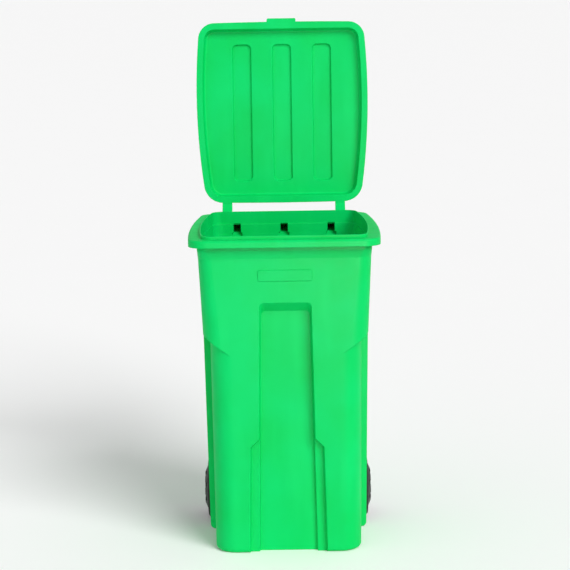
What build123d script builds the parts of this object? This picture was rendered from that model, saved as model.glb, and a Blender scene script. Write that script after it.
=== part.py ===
from build123d import *
import os
from math import cos, radians, sin

# A 240 litre two-wheeled wheelie bin with its lid swung open, in millimetres.
# The front of the bin faces -Y, +X is its right as drawn and +Z is up.
# X = 0 is the plane of symmetry, Y = 0 is the middle of the rim and Z = 0 is the ground.

# ---- Driving dimensions: tub ----
WALL = 4.5                      # moulded wall of the tub
BASE_THICKNESS = 6
RIM_HALF_DEPTH = 303            # middle of the rim to its front or rear edge
RIM_HALVES = (286, 296, 270)    # rim half widths: front, widest, rear
RIM_CORNERS = (54, 48)
FRONT_Y_AT_BASE = -220
REAR_Y_AT_BASE = 240
DRAFT_HEIGHT = 930              # the front and rear walls lean out steadily up to here
FRONT_LEAN = 52 / DRAFT_HEIGHT
REAR_LEAN = 32 / DRAFT_HEIGHT
WING_BOTTOM = 50                # the wide side walls stop this far above the ground
SHOULDER_Z = 700
FLARE_Z = 940
COLLAR_Z = 965
LEDGE_Z = 968                   # step around the inside, below the mouth
SKIRT_BOTTOM = 978
RIM_Z = 1000                    # shoulder of the rim, where the lid's flange rests
LIP_Z = 1010
COLLAR_INSET = 26               # rim edge to the outside of the collar below it
LIP_HALVES = (249, 262.5, 234)  # raised lip round the mouth, inside the lid's crown
LIP_ENDS = (-274.5, 275)
LIP_CORNERS = (34, 36)
RIM_SKIN = 4

# ---- Driving dimensions: front of the tub ----
CORNER_DEPTH = 103              # front face to the front edge of the side wings
CORNER_LINE = ((160, 632), (290, 724))   # slanting top edge of the corner recess: X, Z
CHANNEL_TOP = 806
CHANNEL_DEPTH = 28
STEP_TOP = 376
STEP_DEPTH = 16
PLATE_SIZE = (164, 34)          # blank raised plate above the channel
PLATE_Z = 889
PLATE_PROUD = 1.4

# ---- Driving dimensions: hinge, handle and lid ----
HINGE_Y = 358
HINGE_Z = 970
LEAN = 6                        # the open lid leans this far past upright
GUSSET_X = 155                  # outer gussets; a third one stands at X = 0
GUSSET_WIDTH = 31
POCKET_WIDTH = 24
ARM_X = 189.5
ARM_WIDTH = 33
LUG_X = 212.5
LUG_WIDTH = 10
PIN_RADIUS = 6
RUNNING_CLEARANCE = 0.05
HANDLE_Y = 392
HANDLE_Z = 952
HANDLE_RADIUS = 15
LID_HALVES = (273, 286.5, 258)
LID_CORNERS = (54, 64)
LID_SKIN = 3.5
LID_GAP = 0.5                   # flange to rim shoulder when closed
LID_FRONT_Y = -298
LID_REAR_Y = 300
FLANGE_WIDTH = 20
CROWN_HEIGHT = 28
LID_RIB_HEIGHT = 8
LID_RIB_XS = (-134, 0, 134)

# ---- Driving dimensions: running gear ----
AXLE_Y = 175
WHEEL_RADIUS = 100              # also the height of the axle
AXLE_RADIUS = 10
AXLE_HALF_LENGTH = 265
TREAD_RADIUS = 80               # where the tyre meets the wheel rim
WHEEL_INNER_X = 221
TYRE_INNER_X = 224
TYRE_OUTER_X = 264
WHEEL_OUTER_X = 274
BRACKET_X = 213                 # outer face of the outer axle brackets
SPACER_END_X = 218.5
WASHER_THICKNESS = 2
HUB_CLEARANCE = 0.3
BODY_HALF_AT_WHEELS = 216
ARCH_RADIUS = 118
REAR_FLOOR_Z = 178              # underside of the tub above the axle
STEP_Y = 97                     # rear end of the flat base

os.makedirs("parts", exist_ok=True)


def save(part, name):
    part.label = name
    export_step(part, f"parts/{name}.step")
    box = part.bounding_box()
    print(f"{name}: {len(part.solids())} solid, {part.volume / 1000:.1f} cm3, "
          f"x {box.min.X:.1f}..{box.max.X:.1f} y {box.min.Y:.1f}..{box.max.Y:.1f} "
          f"z {box.min.Z:.1f}..{box.max.Z:.1f}")


def bowed_outline(plane, halves, ends, corners, inset=0.0, end_bow=0.0):
    """A plan outline with bowed sides.

    halves holds the half widths at the front, at the widest place and at the rear,
    ends the front and rear positions and corners the front and rear corner radii.
    """
    front_half, widest_half, rear_half = halves
    front, rear = ends
    widest = front + 0.4 * (rear - front)
    with BuildSketch(plane) as outline:
        with BuildLine():
            ThreePointArc((front_half, front), (widest_half, widest), (rear_half, rear))
            ThreePointArc((-rear_half, rear), (-widest_half, widest), (-front_half, front))
            if end_bow:
                ThreePointArc((rear_half, rear), (0, rear + end_bow), (-rear_half, rear))
                ThreePointArc((-front_half, front), (0, front - end_bow), (front_half, front))
            else:
                Line((rear_half, rear), (-rear_half, rear))
                Line((-front_half, front), (front_half, front))
        make_face()
        fillet(outline.vertices().group_by(Axis.Y)[0], corners[0])
        fillet(outline.vertices().group_by(Axis.Y)[-1], corners[1])
        if inset:
            offset(amount=-inset, kind=Kind.INTERSECTION)
    return outline.sketch


def front_y(z):
    return FRONT_Y_AT_BASE - FRONT_LEAN * min(z, DRAFT_HEIGHT)


def rear_y(z):
    return REAR_Y_AT_BASE + REAR_LEAN * min(z, DRAFT_HEIGHT)


def tub_section(z, halves, corners, inset=0.0):
    """A section of the tub at height z, inset from its outside."""
    ends = (front_y(z), rear_y(z))
    return bowed_outline(Plane.XY.offset(z), halves, ends, corners, inset)


def rim_section(z, inset):
    """The rim's plan outline at height z, inset from the rim's outer edge."""
    ends = (-RIM_HALF_DEPTH, RIM_HALF_DEPTH)
    return bowed_outline(Plane.XY.offset(z), RIM_HALVES, ends, RIM_CORNERS, inset)


def lip_section(inset):
    """The plan outline of the raised lip, drawn at Z = 0."""
    return bowed_outline(Plane.XY, LIP_HALVES, LIP_ENDS, LIP_CORNERS, inset)


def prism(plane, points, depth):
    """A straight-sided solid: the outline through points, extruded by depth."""
    with BuildPart() as block:
        with BuildSketch(plane):
            Polygon(*points, align=None)
        extrude(amount=depth)
    return block.part


# ---------------------------------------------------------------- tub, outside and inside
# The same stations make the outside (inset 0) and the cavity (inset by the wall).

SIDES_AT_BASE = (243, 245, 220)
SIDES_AT_SHOULDER = (251, 253.5, 228)
SIDES_AT_FLARE = (260.5, 263.5, 234)
FRONT_PLANE = Plane(
    origin=(0, FRONT_Y_AT_BASE, 0),
    x_dir=(1, 0, 0),
    z_dir=(0, -1, -FRONT_LEAN),
)


def wide_body(inset, bottom, bottom_round):
    """The full-width walls, from just above the ground up to the flare below the rim."""
    lift = bottom / SHOULDER_Z
    halves = tuple(a + (b - a) * lift for a, b in zip(SIDES_AT_BASE, SIDES_AT_SHOULDER))
    with BuildPart() as body:
        loft([
            tub_section(bottom, halves, (58, 50), inset),
            tub_section(SHOULDER_Z, SIDES_AT_SHOULDER, (54, 50), inset),
            tub_section(FLARE_Z, SIDES_AT_FLARE, (42, 44), inset),
        ], ruled=True)
        fillet(body.edges().group_by(Axis.Z)[0], bottom_round)
    return body.part


def nose(inset, bottom, bottom_round):
    """The narrower core that shows at the front corners and reaches the ground."""
    with BuildPart() as core:
        loft([
            tub_section(bottom, (227.5, 228, 214), (65, 40), inset),
            tub_section(SHOULDER_Z + 40, (231.5, 232, 222), (65, 40), inset),
        ], ruled=True)
        fillet(core.edges().group_by(Axis.Z)[0], bottom_round)
    return core.part


def corner_recesses(grow, core):
    """What is cut off the wide body at its two front corners, down to the nose."""
    (low_x, low_z), (high_x, high_z) = CORNER_LINE
    bottom = -40
    with BuildPart() as recesses:
        with BuildSketch(FRONT_PLANE.offset(60)):
            with BuildLine():
                Polyline(
                    (low_x, bottom), (low_x, low_z + grow), (high_x, high_z + grow),
                    (high_x, bottom), close=True,
                )
            make_face()
            mirror(about=Plane.YZ)
        extrude(amount=-(60 + CORNER_DEPTH + grow))
        add(core, mode=Mode.SUBTRACT)
    return recesses.part


def channel_outline(plane, top, top_half, base_half, corner):
    """One outline of the front channel, open past the bottom of the tub."""
    bottom = -40
    half_at_bottom = base_half + (base_half - top_half) * -bottom / top
    with BuildSketch(plane) as outline:
        with BuildLine():
            Polyline(
                (-half_at_bottom, bottom), (-top_half, top), (top_half, top),
                (half_at_bottom, bottom), close=True,
            )
        make_face()
        fillet(outline.vertices().group_by(Axis.Y)[-1], corner)
    return outline.sketch


def channel(grow):
    """The long recessed panel down the middle of the front."""
    face = FRONT_PLANE.offset(1)
    floor = FRONT_PLANE.offset(-CHANNEL_DEPTH - grow)
    with BuildPart() as recess:
        loft([
            channel_outline(face, CHANNEL_TOP + grow, 79 + grow, 94 + grow, 14 + grow),
            channel_outline(floor, CHANNEL_TOP - 33 + grow, 74 + grow, 89 + grow, 14 + grow),
        ], ruled=True)
    return recess.part


def step_outline(plane, drop, half_at_top, half_at_base):
    """One outline of the wider, shallower step around the channel's lower half."""
    bottom = -40
    slope = (half_at_base - half_at_top) / STEP_TOP
    with BuildSketch(plane) as outline:
        with BuildLine():
            Polyline(
                (-half_at_base + slope * bottom, bottom),
                (-half_at_top, STEP_TOP - 30 - drop),
                (-half_at_top + 30, STEP_TOP - drop),
                (half_at_top - 30, STEP_TOP - drop),
                (half_at_top, STEP_TOP - 30 - drop),
                (half_at_base - slope * bottom, bottom),
                close=True,
            )
        make_face()
    return outline.sketch


def lower_step(grow):
    with BuildPart() as recess:
        loft([
            step_outline(FRONT_PLANE.offset(1), -grow, 114 + grow, 122 + grow),
            step_outline(FRONT_PLANE.offset(-STEP_DEPTH - grow), 4 - grow, 110 + grow, 118 + grow),
        ], ruled=True)
    return recess.part


def wheel_arches(grow):
    """The space of each wheel, open to the rear and to the ground."""
    with BuildPart() as arches:
        for side in (-1, 1):
            start = Plane.YZ.offset(side * (BODY_HALF_AT_WHEELS - grow))
            with BuildSketch(start):
                with Locations((AXLE_Y, WHEEL_RADIUS)):
                    Circle(ARCH_RADIUS + grow)
                with Locations((AXLE_Y - ARCH_RADIUS - grow, WHEEL_RADIUS)):
                    Rectangle(400, 200, align=(Align.MIN, Align.MAX))
            extrude(amount=side * 100)
    return arches.part


def axle_space(grow):
    """The open space under the rear of the tub, where the axle runs across."""
    points = [
        (STEP_Y - grow, -40), (STEP_Y - grow, 0), (STEP_Y + 16 - grow, REAR_FLOOR_Z - 25 + grow),
        (STEP_Y + 46 - grow, REAR_FLOOR_Z + grow), (400, REAR_FLOOR_Z + 24 + grow), (400, -40),
    ]
    return prism(Plane.YZ.offset(-320), points, 640)


def outer_tub():
    """The outside of the tub, before it is hollowed."""
    core = nose(0, 0, 14)
    with BuildPart() as tub:
        add(wide_body(0, WING_BOTTOM, 16))
        add(corner_recesses(0, core), mode=Mode.SUBTRACT)
        add(core)
        add(channel(0), mode=Mode.SUBTRACT)
        add(lower_step(0), mode=Mode.SUBTRACT)
        with BuildSketch(FRONT_PLANE.offset(-1)):
            with Locations((0, PLATE_Z)):
                RectangleRounded(*PLATE_SIZE, 7)
        extrude(amount=PLATE_PROUD + 1)
        add(wheel_arches(0), mode=Mode.SUBTRACT)
        add(axle_space(0), mode=Mode.SUBTRACT)
    return tub.part


def tub_cavity():
    """Everything inside the tub, up to and past the mouth."""
    core = nose(WALL, BASE_THICKNESS, 10)
    with BuildPart() as cavity:
        add(wide_body(WALL, WING_BOTTOM + WALL, 12))
        add(corner_recesses(WALL, core), mode=Mode.SUBTRACT)
        add(core)
        for recess in (channel(WALL), lower_step(WALL), wheel_arches(WALL), axle_space(WALL)):
            add(recess, mode=Mode.SUBTRACT)
        with BuildSketch(Plane.XY.offset(FLARE_Z)):
            add(tub_section(FLARE_Z, SIDES_AT_FLARE, (42, 44), WALL).moved(Location((0, 0, -FLARE_Z))))
        extrude(amount=LEDGE_Z - FLARE_Z)
        with BuildSketch(Plane.XY.offset(LEDGE_Z)):
            add(lip_section(WALL))
        extrude(amount=LIP_Z - LEDGE_Z + 5)
    return cavity.part


def collar_and_rim():
    """The flare, the collar that ends in the raised lip, and the rim's skirt around it."""
    with BuildPart() as rim:
        with BuildSketch(Plane.XY.offset(SKIRT_BOTTOM)):
            add(rim_section(0, 0))
        extrude(amount=RIM_Z - SKIRT_BOTTOM)
        fillet(rim.edges().group_by(Axis.Z)[-1], 7)
        with BuildSketch(Plane.XY.offset(SKIRT_BOTTOM)):
            add(rim_section(0, RIM_SKIN))
        extrude(amount=RIM_Z - SKIRT_BOTTOM - RIM_SKIN, mode=Mode.SUBTRACT)
        loft([
            tub_section(FLARE_Z, SIDES_AT_FLARE, (42, 44)),
            rim_section(COLLAR_Z, COLLAR_INSET),
        ], ruled=True)
        with BuildSketch(Plane.XY.offset(COLLAR_Z)):
            add(rim_section(0, COLLAR_INSET))
        extrude(amount=RIM_Z - 1 - COLLAR_Z)
        with BuildSketch(Plane.XY.offset(RIM_Z - 2)):
            add(lip_section(0))
        extrude(amount=LIP_Z - RIM_Z + 2)
        fillet(rim.edges().group_by(Axis.Z)[-1], 2)
    return rim.part


# ---------------------------------------------------------------- handle, gussets and hinge lugs

HINGE = (HINGE_Y, HINGE_Z)
GUSSET_PROFILE = [(256, 860), (256, 994), (386, 991), (406, 960), (HANDLE_Y, HANDLE_Z - HANDLE_RADIUS)]
LUG_PROFILE = [(256, 890), (256, 994), (386, 991), (406, 960), (HANDLE_Y, HANDLE_Z - HANDLE_RADIUS)]
POCKET_PROFILE = [
    (240, 940), (240, 967), (268, 967), (290, 984), (368, 984), (372, 972), (372, 952), (360, 946),
    (288, 940),
]
ROOT_PROFILE = [(256, 900), (256, 968), (300, 968), (300, 935)]
LIP_PROFILE = [(240, 916), (262, 916), (288, 940), (240, 940)]


def centred_prism(profile, x, width):
    return prism(Plane.YZ.offset(x - width / 2), profile, width)


def handle_frame():
    """Three hollow gussets, two outer hinge lugs, the grip bar and the lid's two stops."""
    with BuildPart() as frame:
        for x in (-GUSSET_X, 0, GUSSET_X):
            add(centred_prism(GUSSET_PROFILE, x, GUSSET_WIDTH))
            add(centred_prism(ROOT_PROFILE, x, 46))
        for x in (-LUG_X, LUG_X):
            add(centred_prism(LUG_PROFILE, x, LUG_WIDTH))
        with BuildSketch(Plane.YZ.offset(-LUG_X - LUG_WIDTH / 2)):
            with Locations((HANDLE_Y, HANDLE_Z)):
                Circle(HANDLE_RADIUS)
        extrude(amount=2 * LUG_X + LUG_WIDTH)
        for side in (-1, 1):
            add(stop_web(side))
    return frame.part


def pockets_and_bores():
    """The hollows of the gussets, open to the tub, and the holes of the hinge pins."""
    with BuildPart() as hollows:
        for x in (-GUSSET_X, 0, GUSSET_X):
            add(centred_prism(POCKET_PROFILE, x, POCKET_WIDTH))
            add(centred_prism(LIP_PROFILE, x, 34))
        for side in (-1, 1):
            with BuildSketch(Plane.YZ.offset(side * GUSSET_X)):
                with Locations(HINGE):
                    Circle(PIN_RADIUS + RUNNING_CLEARANCE)
            extrude(amount=side * 70)
    return hollows.part


# ---------------------------------------------------------------- lid
# The lid is drawn on planes that lie along it: local X runs across, local Y towards the
# hinge and the normal points out of the lid's outer face. The hinge axis is the origin.

LID_NORMAL = (0, cos(radians(LEAN)), -sin(radians(LEAN)))
LID_DOWN = (0, -sin(radians(LEAN)), -cos(radians(LEAN)))
FLANGE_UNDER = RIM_Z + LID_GAP - HINGE_Z
LID_ENDS = (LID_FRONT_Y - HINGE_Y, LID_REAR_Y - HINGE_Y)


def lid_plane(height):
    hinge_plane = Plane(origin=(0, HINGE_Y, HINGE_Z), x_dir=(1, 0, 0), z_dir=LID_NORMAL)
    return hinge_plane.offset(height)


def lid_side_plane(x):
    """A plane across the lid at X = x: local X towards the hinge, local Y outwards."""
    return Plane(origin=(x, HINGE_Y, HINGE_Z), x_dir=LID_DOWN, z_dir=(1, 0, 0))


ARM_BACK = ((7, 12.1), (-72, 46))       # outer edge of the arm, from the eye to the flange
ARM_EYE_RADIUS = 14
ARM_PROFILE = [
    (-86, FLANGE_UNDER), (-51, FLANGE_UNDER), (-12, -7), ARM_BACK[0], ARM_BACK[1], (-86, 46),
]


def along_arm_back(distance, height):
    """A point beside the arm's outer edge, distance up it from the eye."""
    (x0, y0), (x1, y1) = ARM_BACK
    length = ((x1 - x0) ** 2 + (y1 - y0) ** 2) ** 0.5
    ux, uy = (x1 - x0) / length, (y1 - y0) / length
    return (x0 + ux * distance + uy * height, y0 + uy * distance - ux * height)


def stop_web(side):
    """The web between gusset and lug that the arm leans on when the lid is open."""
    gap, thickness = 0.3, 5
    corners = [
        along_arm_back(5, gap), along_arm_back(30, gap),
        along_arm_back(30, gap + thickness), along_arm_back(5, gap + thickness),
    ]
    inner_x = GUSSET_X + GUSSET_WIDTH / 2 - 1
    width = LUG_X - LUG_WIDTH / 2 + 1 - inner_x
    start = side * (inner_x + width / 2) - width / 2
    return prism(lid_side_plane(start), corners, width)


def crown_outline(height, inset):
    return bowed_outline(lid_plane(height), LID_HALVES, LID_ENDS, LID_CORNERS, inset)


def lid_crown(skin, rise, edge_round):
    """The raised middle of the lid; with no skin it is the hollow, open at its foot."""
    foot = FLANGE_UNDER if skin else FLANGE_UNDER - 1
    with BuildPart() as crown:
        loft([
            crown_outline(foot, FLANGE_WIDTH - skin),
            crown_outline(FLANGE_UNDER + rise, FLANGE_WIDTH + 5 - skin),
        ], ruled=True)
        top = crown.faces().sort_by(Axis(origin=(0, 0, 0), direction=LID_NORMAL))[-1]
        fillet(top.edges(), edge_round)
    return crown.part


def lid_rib(x, skin, rise):
    """One long rib pressed outwards from the crown."""
    length, width = 463 + 2 * skin, 68 + 2 * skin
    centre = (LID_ENDS[0] + LID_ENDS[1]) / 2
    with BuildPart() as rib:
        for height, trim in ((rise - 6, 0), (rise + LID_RIB_HEIGHT, 5)):
            with BuildSketch(lid_plane(FLANGE_UNDER + height)):
                with Locations((x, centre)):
                    RectangleRounded(width - 2 * trim, length - 2 * trim, 16)
        loft(ruled=True)
    return rib.part


def build_lid():
    with BuildPart() as lid:
        with BuildSketch(lid_plane(FLANGE_UNDER)):
            add(bowed_outline(Plane.XY, LID_HALVES, LID_ENDS, LID_CORNERS, 0, 3))
            with Locations((0, LID_ENDS[0] - 2)):
                RectangleRounded(97, 24, 5)
        extrude(amount=4)
        add(lid_crown(LID_SKIN, CROWN_HEIGHT + LID_SKIN, 10))
        for x in LID_RIB_XS:
            add(lid_rib(x, LID_SKIN, CROWN_HEIGHT + LID_SKIN))
        for x in (-ARM_X, ARM_X):
            start = lid_side_plane(x - ARM_WIDTH / 2)
            add(prism(start, ARM_PROFILE, ARM_WIDTH))
            with BuildSketch(start):
                Circle(ARM_EYE_RADIUS)
            extrude(amount=ARM_WIDTH)
        add(lid_crown(0, CROWN_HEIGHT, 7), mode=Mode.SUBTRACT)
        for x in LID_RIB_XS:
            add(lid_rib(x, 0, CROWN_HEIGHT), mode=Mode.SUBTRACT)
        with BuildSketch(lid_side_plane(-300)):
            Circle(PIN_RADIUS + RUNNING_CLEARANCE)
        extrude(amount=600, mode=Mode.SUBTRACT)
    return lid.part


# ---------------------------------------------------------------- brackets that hold the axle

BRACKET_PROFILE = [
    (STEP_Y - 4, 48), (STEP_Y - 4, REAR_FLOOR_Z + 8), (246, REAR_FLOOR_Z + 18), (244, 150),
    (200, 84), (186, 78), (164, 78), (150, 66),
]


def axle_brackets():
    with BuildPart() as brackets:
        for side in (-1, 1):
            outer_x = side * (BRACKET_X - 4)
            middle_x = side * 72
            for x in (outer_x, middle_x):
                add(centred_prism(BRACKET_PROFILE, x, 8))
    return brackets.part


def axle_bore():
    with BuildPart() as bore:
        with BuildSketch(Plane.YZ.offset(-260)):
            with Locations((AXLE_Y, WHEEL_RADIUS)):
                Circle(AXLE_RADIUS + RUNNING_CLEARANCE)
        extrude(amount=520)
    return bore.part


def build_body():
    with BuildPart() as body:
        add(outer_tub())
        add(collar_and_rim())
        add(handle_frame())
        add(axle_brackets())
        add(tub_cavity(), mode=Mode.SUBTRACT)
        add(pockets_and_bores(), mode=Mode.SUBTRACT)
        add(axle_bore(), mode=Mode.SUBTRACT)
    return body.part


# ---------------------------------------------------------------- hinge pins and their clips

PIN_HEAD_RADIUS = 10
PIN_START_X = GUSSET_X
CLIP_X = GUSSET_X + 4.5


def hinge_pin(side):
    """A domed pin through the outer lug, the lid's arm and the gusset's wall."""
    lug_face = LUG_X + LUG_WIDTH / 2
    with BuildPart() as pin:
        with BuildSketch(Plane.YZ.offset(side * PIN_START_X)):
            with Locations(HINGE):
                Circle(PIN_RADIUS)
        extrude(amount=side * (lug_face - PIN_START_X))
        with BuildSketch(Plane.YZ.offset(side * lug_face)):
            with Locations(HINGE):
                Circle(PIN_HEAD_RADIUS)
        extrude(amount=side * 5)
        along = Axis((0, 0, 0), (side, 0, 0))
        fillet(pin.edges().group_by(along)[-1], 3.5)
        chamfer(pin.edges().group_by(along)[0], 1.2)
    return pin.part


def hinge_clip(side):
    """The toothed push-on ring that keeps the pin in, inside the hollow gusset."""
    with BuildPart() as clip:
        with BuildSketch(Plane.YZ.offset(side * CLIP_X)):
            with Locations(HINGE):
                Circle(9)
                Circle(PIN_RADIUS, mode=Mode.SUBTRACT)
                with PolarLocations(PIN_RADIUS, 6):
                    Rectangle(3, 1.4, mode=Mode.SUBTRACT)
        extrude(amount=side * 2.2)
        fillet(clip.edges().filter_by(GeomType.CIRCLE).sort_by(SortBy.RADIUS)[-1], 0.8)
    return clip.part


# ---------------------------------------------------------------- axle, wheels and what holds them

def on_axle(x):
    """The plane across the axle at X = x, centred on it."""
    return Plane(origin=(x, AXLE_Y, WHEEL_RADIUS), x_dir=(0, 1, 0), z_dir=(1, 0, 0))


def ring(side, start_x, end_x, outer_radius, inner_radius):
    """A plain ring around the axle between two distances from the middle."""
    with BuildPart() as body:
        with BuildSketch(on_axle(side * start_x)):
            Circle(outer_radius)
            Circle(inner_radius, mode=Mode.SUBTRACT)
        extrude(amount=side * (end_x - start_x))
    return body.part


def build_axle():
    with BuildPart() as axle:
        with BuildSketch(on_axle(-AXLE_HALF_LENGTH)):
            Circle(AXLE_RADIUS)
        extrude(amount=2 * AXLE_HALF_LENGTH)
        chamfer(axle.edges().filter_by(GeomType.CIRCLE), 1.5)
    return axle.part


def turned(side, points):
    """A solid of revolution about the axle; points are (distance from middle, radius)."""
    section = Plane(
        origin=(0, AXLE_Y, WHEEL_RADIUS), x_dir=(side, 0, 0), z_dir=(0, -side, 0)
    )
    with BuildPart() as body:
        with BuildSketch(section):
            Polygon(*points, align=None)
        revolve(axis=Axis((0, AXLE_Y, WHEEL_RADIUS), (1, 0, 0)))
    return body.part


BUSH_RADIUS = 14
HUB_FACE_X = 258                # outer end of the hub's bore
CAP_RADIUS = 24


WEB_X = TYRE_INNER_X + 28       # back of the wheel's web
RIB_START_X = TYRE_INNER_X + 3
SPOKES = 8


def wheel_disc(side):
    """The moulded wheel: hub, rim band, ribs on its back and shallow panels on its face."""
    points = [
        (WHEEL_INNER_X, BUSH_RADIUS), (WHEEL_INNER_X, 24), (WEB_X + 2, 26), (WEB_X, 66),
        (TYRE_INNER_X, 70), (TYRE_INNER_X, TREAD_RADIUS), (TYRE_OUTER_X - 2, TREAD_RADIUS),
        (WHEEL_OUTER_X, 53), (WHEEL_OUTER_X, CAP_RADIUS), (HUB_FACE_X, CAP_RADIUS),
        (HUB_FACE_X, BUSH_RADIUS),
    ]
    with BuildPart() as disc:
        add(turned(side, points))
        along = Axis((0, 0, 0), (side, 0, 0))
        fillet(disc.edges().group_by(along)[-1], 1.5)
        with BuildSketch(on_axle(side * RIB_START_X)):
            with PolarLocations(46, SPOKES):
                Rectangle(50, 4)
        extrude(amount=side * (WEB_X + 1 - RIB_START_X))
        with BuildSketch(on_axle(side * (WHEEL_OUTER_X + 1))):
            with PolarLocations(49, SPOKES, 360 / SPOKES / 2):
                RectangleRounded(32, 19, 6)
        extrude(amount=-side * 8, mode=Mode.SUBTRACT)
    return disc.part


def build_tyre(side):
    """A solid rubber tyre with a crowned tread and two shallow grooves round it."""
    points = [
        (TYRE_INNER_X, TREAD_RADIUS), (TYRE_INNER_X, 92), (TYRE_INNER_X + 5, 98.5),
        (TYRE_INNER_X + 10, WHEEL_RADIUS), (TYRE_INNER_X + 13, WHEEL_RADIUS),
        (TYRE_INNER_X + 13.5, 98), (TYRE_INNER_X + 15.5, 98), (TYRE_INNER_X + 16, WHEEL_RADIUS),
        (TYRE_OUTER_X - 16, WHEEL_RADIUS), (TYRE_OUTER_X - 15.5, 98),
        (TYRE_OUTER_X - 13.5, 98), (TYRE_OUTER_X - 13, WHEEL_RADIUS),
        (TYRE_OUTER_X - 10, WHEEL_RADIUS), (TYRE_OUTER_X - 5, 98.5), (TYRE_OUTER_X, 92),
        (TYRE_OUTER_X, TREAD_RADIUS),
    ]
    return turned(side, points)


def hub_cap(side):
    """The domed cap pressed into the hub over the end of the axle."""
    points = [
        (WHEEL_OUTER_X - 6, 0), (WHEEL_OUTER_X - 6, CAP_RADIUS), (WHEEL_OUTER_X - 2, CAP_RADIUS),
        (WHEEL_OUTER_X - 1.2, 20), (WHEEL_OUTER_X - 0.3, 12), (WHEEL_OUTER_X, 0),
    ]
    return turned(side, points)


def push_nut(side):
    """The sprung steel cap pushed over the end of the axle."""
    foot = HUB_FACE_X + HUB_CLEARANCE + WASHER_THICKNESS
    points = [
        (foot, AXLE_RADIUS), (foot, 17), (foot + 1.5, 17), (foot + 2.3, 13), (foot + 6, 13),
        (foot + 6.7, 10), (foot + 6.7, 0), (AXLE_HALF_LENGTH + 0.2, 0),
        (AXLE_HALF_LENGTH + 0.2, AXLE_RADIUS),
    ]
    return turned(side, points)


save(build_body(), "body_shell")
save(build_lid(), "lid_shell")
save(build_axle(), "axle")
for side, name in ((-1, "left"), (1, "right")):
    save(hinge_pin(side), f"hinge_pin_{name}")
    save(hinge_clip(side), f"hinge_clip_{name}")
    save(ring(side, BRACKET_X, SPACER_END_X, 15, AXLE_RADIUS), f"axle_spacer_{name}")
    inner_washer_end = SPACER_END_X + WASHER_THICKNESS
    save(ring(side, SPACER_END_X, inner_washer_end, 18, AXLE_RADIUS), f"inner_washer_{name}")
    save(wheel_disc(side), f"wheel_disc_{name}")
    save(build_tyre(side), f"tyre_{name}")
    save(ring(side, WHEEL_INNER_X, HUB_FACE_X, BUSH_RADIUS, AXLE_RADIUS + RUNNING_CLEARANCE),
         f"wheel_bush_{name}")
    outer_washer_start = HUB_FACE_X + HUB_CLEARANCE
    save(ring(side, outer_washer_start, outer_washer_start + WASHER_THICKNESS, 18, AXLE_RADIUS),
         f"outer_washer_{name}")
    save(push_nut(side), f"push_nut_{name}")
    save(hub_cap(side), f"hub_cap_{name}")
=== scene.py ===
"""A green two-wheeled wheelie bin with its lid swung open, in a plain studio."""

from math import pi, radians

import bmesh
import bpy
from mathutils import Matrix, Vector


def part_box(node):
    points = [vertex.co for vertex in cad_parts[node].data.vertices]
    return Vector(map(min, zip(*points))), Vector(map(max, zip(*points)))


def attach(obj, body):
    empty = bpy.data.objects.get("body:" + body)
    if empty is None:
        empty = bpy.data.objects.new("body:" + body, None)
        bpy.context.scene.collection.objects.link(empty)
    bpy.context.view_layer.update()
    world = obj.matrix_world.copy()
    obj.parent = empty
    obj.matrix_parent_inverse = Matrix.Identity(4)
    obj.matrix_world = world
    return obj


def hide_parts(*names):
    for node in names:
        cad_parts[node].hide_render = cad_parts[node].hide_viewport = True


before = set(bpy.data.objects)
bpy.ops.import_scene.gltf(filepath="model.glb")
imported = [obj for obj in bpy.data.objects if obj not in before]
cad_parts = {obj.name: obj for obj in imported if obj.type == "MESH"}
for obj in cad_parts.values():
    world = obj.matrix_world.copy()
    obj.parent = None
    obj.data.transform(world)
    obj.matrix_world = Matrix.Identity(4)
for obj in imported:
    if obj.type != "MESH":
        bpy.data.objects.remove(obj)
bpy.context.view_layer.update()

# ---- Camera ----
CAMERA_PLACE = (0, -5.5, 1.8)
CAMERA_PITCH = 10.2
CAMERA_ROLL = -0.87
FOCAL_LENGTH = 111.47
SENSOR_WIDTH = 36

# ---- Light ----
AMBIENT = 0.52
KEY_STRENGTH = 2.35
KEY_ANGLE = 32
KEY_FROM = (3.0, -4.2, 3.7)
FILL_STRENGTH = 0.12
FILL_ANGLE = 60
FILL_FROM = (-3.5, -2.5, 2.0)
SHEEN_POWER = 48
SHEEN_SIZE = 0.5
SHEEN_FROM = (0.5, -2.2, 0.62)
SHEEN_AT = (0.2, -0.28, 0.9)
FLOOR_RADIUS = 120
FLOOR_SIDES = 96

# ---- Surface detail: noise scales per metre, depths in metres ----
FLOW_SCALE = 5.5
STREAK_SCALE = 14
STREAK_STRETCH = (1, 1, 0.16)
POLISH_SCALE = 38
RIPPLE_SCALE = 9
RIPPLE_DEPTH = 0.0012
DUST_SCALE = 26
RUBBER_SHINE_SCALE = 60
RUBBER_GRAIN_SCALE = 700
RUBBER_GRAIN_DEPTH = 0.0003
RUBBER_EDGE = 0.0012
SPANGLE_SCALE = 160
STEEL_SHINE_SCALE = 90
DRAWN_SCALE = 400
DRAWN_STRETCH = (0.05, 1, 1)
DRAWN_DEPTH = 0.0002
FLOOR_CLOUD_SCALE = 1.5
PLASTIC_IOR = 1.51

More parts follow.
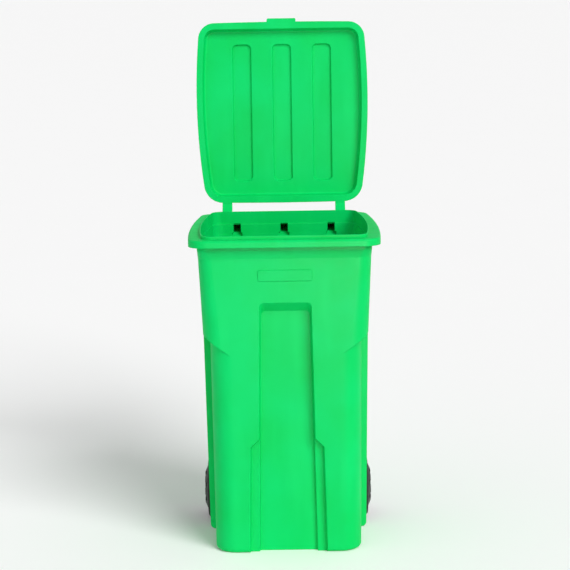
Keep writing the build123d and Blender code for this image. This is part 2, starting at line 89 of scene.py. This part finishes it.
# ---- Colours, linear ----
GREEN = (0.0, 0.62, 0.138, 1)
GREEN_SHADE = (0.0, 0.58, 0.108, 1)
PIN_GREEN = (0.004, 0.40, 0.060, 1)
BLACK = (0.008, 0.008, 0.009, 1)
BLACK_LIGHT = (0.017, 0.017, 0.018, 1)
RUBBER = (0.007, 0.007, 0.007, 1)
RUBBER_DUST = (0.022, 0.021, 0.020, 1)
ZINC = (0.56, 0.57, 0.60, 1)
ZINC_DARK = (0.36, 0.37, 0.40, 1)
SPRING = (0.20, 0.20, 0.22, 1)
SPRING_DARK = (0.10, 0.10, 0.12, 1)
NYLON = (0.70, 0.68, 0.62, 1)
NYLON_DARK = (0.58, 0.56, 0.50, 1)
FLOOR_WHITE = (0.97, 0.97, 0.97, 1)


# ---------------------------------------------------------------- materials


class Nodes:
    """A material's node tree, with short calls to add and join nodes."""

    def __init__(self, name):
        self.material = bpy.data.materials.new(name)
        self.material.use_nodes = True
        self.tree = self.material.node_tree
        self.shader = self.tree.nodes["Principled BSDF"]
        coordinates = self.tree.nodes.new("ShaderNodeTexCoord")
        self.place = coordinates.outputs["Object"]

    def add(self, kind, **settings):
        node = self.tree.nodes.new(kind)
        for key, value in settings.items():
            setattr(node, key, value)
        return node

    def join(self, output, socket):
        self.tree.links.new(output, socket)

    def noise(self, scale, detail=2.0, stretch=(1, 1, 1)):
        """Noise in the object's own metres; stretch scales its axes."""
        mapping = self.add("ShaderNodeMapping")
        mapping.inputs["Scale"].default_value = stretch
        self.join(self.place, mapping.inputs["Vector"])
        noise = self.add("ShaderNodeTexNoise")
        noise.inputs["Scale"].default_value = scale
        noise.inputs["Detail"].default_value = detail
        self.join(mapping.outputs["Vector"], noise.inputs["Vector"])
        return noise.outputs["Fac"]

    def cells(self, scale):
        voronoi = self.add("ShaderNodeTexVoronoi", feature="SMOOTH_F1")
        voronoi.inputs["Scale"].default_value = scale
        self.join(self.place, voronoi.inputs["Vector"])
        return voronoi.outputs["Distance"]

    def spread(self, value, low, high, start=0.35, end=0.65):
        """Map a texture's middle range onto low to high."""
        mapped = self.add("ShaderNodeMapRange")
        for socket, number in (
            ("From Min", start),
            ("From Max", end),
            ("To Min", low),
            ("To Max", high),
        ):
            mapped.inputs[socket].default_value = number
        self.join(value, mapped.inputs["Value"])
        return mapped.outputs["Result"]

    def blend(self, factor, first, second):
        """Mix two colours, each a colour or another node's output."""
        mix = self.add("ShaderNodeMix", data_type="RGBA")
        self.join(factor, mix.inputs[0])
        for socket, value in ((mix.inputs[6], first), (mix.inputs[7], second)):
            if isinstance(value, tuple):
                socket.default_value = value
            else:
                self.join(value, socket)
        return mix.outputs[2]

    def relief(self, height, strength, distance, normal=None):
        bump = self.add("ShaderNodeBump")
        bump.inputs["Strength"].default_value = strength
        bump.inputs["Distance"].default_value = distance
        self.join(height, bump.inputs["Height"])
        if normal is not None:
            self.join(normal, bump.inputs["Normal"])
        return bump.outputs["Normal"]

    def soft_edges(self, radius):
        bevel = self.add("ShaderNodeBevel", samples=4)
        bevel.inputs["Radius"].default_value = radius
        return bevel.outputs["Normal"]


def moulded_plastic(name, colour, shade, roughness, grain, edge_radius, gloss=0.5):
    """Moulded plastic: faint flow clouds, fine grain and a soft, uneven gloss.

    roughness is its lowest and highest value, and grain is the scale, strength and depth of
    the mould's texture.
    """
    nodes = Nodes(name)
    clouds = nodes.noise(FLOW_SCALE, detail=3.0)
    streaks = nodes.noise(STREAK_SCALE, detail=2.0, stretch=STREAK_STRETCH)
    tone = nodes.blend(nodes.spread(clouds, 0.0, 1.0), colour, shade)
    paler = tuple(min(1, 1.12 * c + 0.006) for c in colour[:3]) + (1,)
    tone = nodes.blend(nodes.spread(streaks, 0.0, 0.35, 0.5, 0.72), tone, paler)
    nodes.join(tone, nodes.shader.inputs["Base Color"])

    low, high = roughness
    polish = nodes.noise(POLISH_SCALE, detail=4.0)
    nodes.join(nodes.spread(polish, low, high), nodes.shader.inputs["Roughness"])

    scale, strength, distance = grain
    normal = nodes.soft_edges(edge_radius)
    ripple = nodes.noise(RIPPLE_SCALE, detail=1.0)
    normal = nodes.relief(ripple, 0.25, RIPPLE_DEPTH, normal)
    pebbles = nodes.cells(scale)
    normal = nodes.relief(pebbles, strength, distance, normal)
    nodes.join(normal, nodes.shader.inputs["Normal"])
    nodes.shader.inputs["IOR"].default_value = PLASTIC_IOR
    nodes.shader.inputs["Specular IOR Level"].default_value = gloss
    return nodes.material


def tyre_rubber(name):
    """Solid rubber with a little dust on it."""
    nodes = Nodes(name)
    dust = nodes.spread(nodes.noise(DUST_SCALE, detail=5.0), 0.0, 0.55, 0.5, 0.75)
    nodes.join(nodes.blend(dust, RUBBER, RUBBER_DUST), nodes.shader.inputs["Base Color"])
    shine = nodes.spread(nodes.noise(RUBBER_SHINE_SCALE), 0.62, 0.82)
    nodes.join(shine, nodes.shader.inputs["Roughness"])
    normal = nodes.soft_edges(RUBBER_EDGE)
    grain = nodes.noise(RUBBER_GRAIN_SCALE, detail=3.0)
    normal = nodes.relief(grain, 0.35, RUBBER_GRAIN_DEPTH, normal)
    nodes.join(normal, nodes.shader.inputs["Normal"])
    return nodes.material


def plated_steel(name, colour, dark, roughness):
    """Steel with a faint spangle and drawing lines along X, as on the axle."""
    nodes = Nodes(name)
    spangle = nodes.spread(nodes.cells(SPANGLE_SCALE), 0.0, 1.0, 0.1, 0.6)
    nodes.join(nodes.blend(spangle, colour, dark), nodes.shader.inputs["Base Color"])
    shine = nodes.spread(nodes.noise(STEEL_SHINE_SCALE, detail=4.0), *roughness)
    nodes.join(shine, nodes.shader.inputs["Roughness"])
    drawn = nodes.noise(DRAWN_SCALE, detail=2.0, stretch=DRAWN_STRETCH)
    nodes.join(nodes.relief(drawn, 0.2, DRAWN_DEPTH), nodes.shader.inputs["Normal"])
    nodes.shader.inputs["Metallic"].default_value = 1.0
    return nodes.material


def floor_material():
    """Matt, nearly white and very slightly clouded."""
    nodes = Nodes("studio_floor")
    tone = nodes.spread(nodes.noise(FLOOR_CLOUD_SCALE), 0.0, 0.12)
    off_white = tuple(0.98 * c for c in FLOOR_WHITE[:3]) + (1,)
    nodes.join(nodes.blend(tone, FLOOR_WHITE, off_white), nodes.shader.inputs["Base Color"])
    nodes.shader.inputs["Roughness"].default_value = 0.9
    nodes.shader.inputs["Specular IOR Level"].default_value = 0.1
    return nodes.material


MATERIALS = {
    "green_plastic": moulded_plastic(
        "green_body_plastic", GREEN, GREEN_SHADE,
        roughness=(0.44, 0.48), grain=(900, 0.14, 0.0004), edge_radius=0.0035, gloss=0.08,
    ),
    "green_plastic_lid": moulded_plastic(
        "green_lid_plastic", GREEN, GREEN_SHADE,
        roughness=(0.46, 0.5), grain=(700, 0.2, 0.0004), edge_radius=0.003, gloss=0.08,
    ),
    "green_pin_plastic": moulded_plastic(
        "green_pin_plastic", PIN_GREEN, GREEN_SHADE,
        roughness=(0.35, 0.5), grain=(1100, 0.1, 0.0003), edge_radius=0.001,
    ),
    "black_plastic": moulded_plastic(
        "black_wheel_plastic", BLACK, BLACK_LIGHT,
        roughness=(0.36, 0.52), grain=(1000, 0.2, 0.0004), edge_radius=0.0015, gloss=0.3,
    ),
    "black_cap_plastic": moulded_plastic(
        "black_cap_plastic", BLACK_LIGHT, BLACK,
        roughness=(0.28, 0.4), grain=(1200, 0.1, 0.0003), edge_radius=0.001,
    ),
    "black_rubber": tyre_rubber("tyre_rubber"),
    "zinc_steel": plated_steel("zinc_plated_steel", ZINC, ZINC_DARK, roughness=(0.26, 0.44)),
    "spring_steel": plated_steel(
        "blued_spring_steel", SPRING, SPRING_DARK, roughness=(0.3, 0.5)
    ),
    "nylon": moulded_plastic(
        "natural_nylon", NYLON, NYLON_DARK,
        roughness=(0.35, 0.5), grain=(1400, 0.08, 0.0002), edge_radius=0.0008,
    ),
}


def finish_cad_nodes():
    """Give each CAD node the detailed material of the record's slot of that name."""
    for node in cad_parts.values():
        for slot in node.material_slots:
            slot.material = MATERIALS[slot_name(node, slot)]


def slot_name(node, slot):
    """The record's slot that a CAD node's material stands for."""
    wanted = slot.material.name if slot.material else ""
    for name in sorted(MATERIALS, key=len, reverse=True):
        if wanted.startswith(name):
            return name
    raise ValueError(f"{node.name} has an unknown material {wanted!r}")


def add_object(name, data):
    thing = bpy.data.objects.new(name, data)
    bpy.context.collection.objects.link(thing)
    return thing


# ---------------------------------------------------------------- wheels

# Each profile point is a share of the width, from the inner face to the outer one, and a
# share of the radius. The tyre's is the inner half, from the bore to the middle of the tread.
TYRE_BORE = 0.801
TYRE_BORE_START = 0.06
TYRE_HALF = (
    (0.06, 0.803), (0.02, 0.818), (0.0, 0.840), (0.0, 0.872), (0.012, 0.890), (0.0, 0.896),
    (0.006, 0.920), (0.025, 0.944), (0.06, 0.965), (0.105, 0.981), (0.16, 0.992), (0.225, 0.997),
    (0.30, 0.9985), (0.315, 0.981), (0.345, 0.976), (0.375, 0.981), (0.39, 0.9995), (0.50, 1.0),
)
CAP_PROFILE = (
    (0.0, 0.0), (0.0, 1.0), (0.52, 1.0), (0.66, 0.992), (0.76, 0.972), (0.81, 0.94), (0.82, 0.90),
    (0.80, 0.87), (0.74, 0.855), (0.74, 0.825), (0.80, 0.81), (0.84, 0.77), (0.89, 0.62),
    (0.94, 0.44), (0.98, 0.22), (1.0, 0.0),
)
TURNING_STEPS = 144
SHARP_ANGLE = 38


def turned_piece(name, node, body, slot, profile, closed):
    """Turn a profile about the wheel's axis, in the place and to the size of a CAD node."""
    low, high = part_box(node)
    outwards = 1 if low[0] > 0 else -1
    inner_x, outer_x = (low[0], high[0]) if outwards > 0 else (high[0], low[0])
    centre = Vector((0, (low[1] + high[1]) / 2, (low[2] + high[2]) / 2))
    radius = (high[2] - low[2]) / 2

    shape = bmesh.new()
    ring = [
        shape.verts.new((inner_x + across * (outer_x - inner_x), centre.y, centre.z + r * radius))
        for across, r in profile
    ]
    line = [shape.edges.new(pair) for pair in zip(ring, ring[1:])]
    if closed:
        line.append(shape.edges.new((ring[-1], ring[0])))
    bmesh.ops.spin(
        shape, geom=ring + line, cent=centre, axis=(1, 0, 0), angle=2 * pi, steps=TURNING_STEPS
    )
    bmesh.ops.remove_doubles(shape, verts=shape.verts, dist=1e-6)
    bmesh.ops.recalc_face_normals(shape, faces=shape.faces)
    for face in shape.faces:
        face.smooth = True
    mesh = bpy.data.meshes.new(name)
    shape.to_mesh(mesh)
    shape.free()
    mesh.set_sharp_from_angle(angle=radians(SHARP_ANGLE))
    mesh.materials.append(MATERIALS[slot])

    piece = add_object(name, mesh)
    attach(piece, body)
    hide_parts(node)


def finish_wheels():
    """Turn both tyres, each with two grooves in its tread, and both domed caps."""
    mirrored = tuple((1 - across, r) for across, r in reversed(TYRE_HALF[:-1]))
    bore = ((1 - TYRE_BORE_START, TYRE_BORE), (TYRE_BORE_START, TYRE_BORE))
    tyre_profile = TYRE_HALF + mirrored + bore
    for side in ("left", "right"):
        body = f"wheel_{side}"
        turned_piece(
            f"moulded_tyre_{side}", f"tyre_{side}", body, "black_rubber", tyre_profile, True
        )
        turned_piece(
            f"domed_cap_{side}", f"hub_cap_{side}", body, "black_cap_plastic", CAP_PROFILE, False
        )


# ---------------------------------------------------------------- studio


def build_floor():
    mesh = bpy.data.meshes.new("floor")
    shape = bmesh.new()
    bmesh.ops.create_circle(shape, cap_ends=True, segments=FLOOR_SIDES, radius=FLOOR_RADIUS)
    shape.to_mesh(mesh)
    shape.free()
    mesh.materials.append(floor_material())
    floor = add_object("floor", mesh)


def add_light(name, kind, strength, source, target=(0, 0, 0)):
    """A light at source that points at target."""
    data = bpy.data.lights.new(name, kind)
    data.energy = strength
    light = add_object(name, data)
    light.location = source
    aim = Vector(target) - Vector(source)
    light.rotation_euler = aim.to_track_quat("-Z", "Y").to_euler()
    return light


def add_lights():
    """A soft key from the right, a weak fill, and a low box that lays a sheen on the front."""
    key = add_light("key", "SUN", KEY_STRENGTH, KEY_FROM)
    key.data.angle = radians(KEY_ANGLE)
    fill = add_light("fill", "SUN", FILL_STRENGTH, FILL_FROM)
    fill.data.angle = radians(FILL_ANGLE)
    sheen = add_light("sheen", "AREA", SHEEN_POWER, SHEEN_FROM, SHEEN_AT)
    sheen.data.size = SHEEN_SIZE
    sheen.visible_camera = False
    sheen.visible_diffuse = False


def add_sky():
    world = bpy.data.worlds.new("studio")
    world.use_nodes = True
    background = world.node_tree.nodes["Background"]
    background.inputs["Color"].default_value = (1, 1, 1, 1)
    background.inputs["Strength"].default_value = AMBIENT
    bpy.context.scene.world = world


def add_camera():
    data = bpy.data.cameras.new("camera")
    data.lens = FOCAL_LENGTH
    data.sensor_width = SENSOR_WIDTH
    camera = add_object("camera", data)
    tilt = Matrix.Rotation(radians(90 - CAMERA_PITCH), 4, "X")
    roll = Matrix.Rotation(radians(CAMERA_ROLL), 4, "Z")
    camera.matrix_world = Matrix.Translation(CAMERA_PLACE) @ tilt @ roll
    bpy.context.scene.camera = camera


finish_cad_nodes()
finish_wheels()
build_floor()
add_lights()
add_sky()
add_camera()
bpy.context.scene.view_settings.view_transform = "Standard"
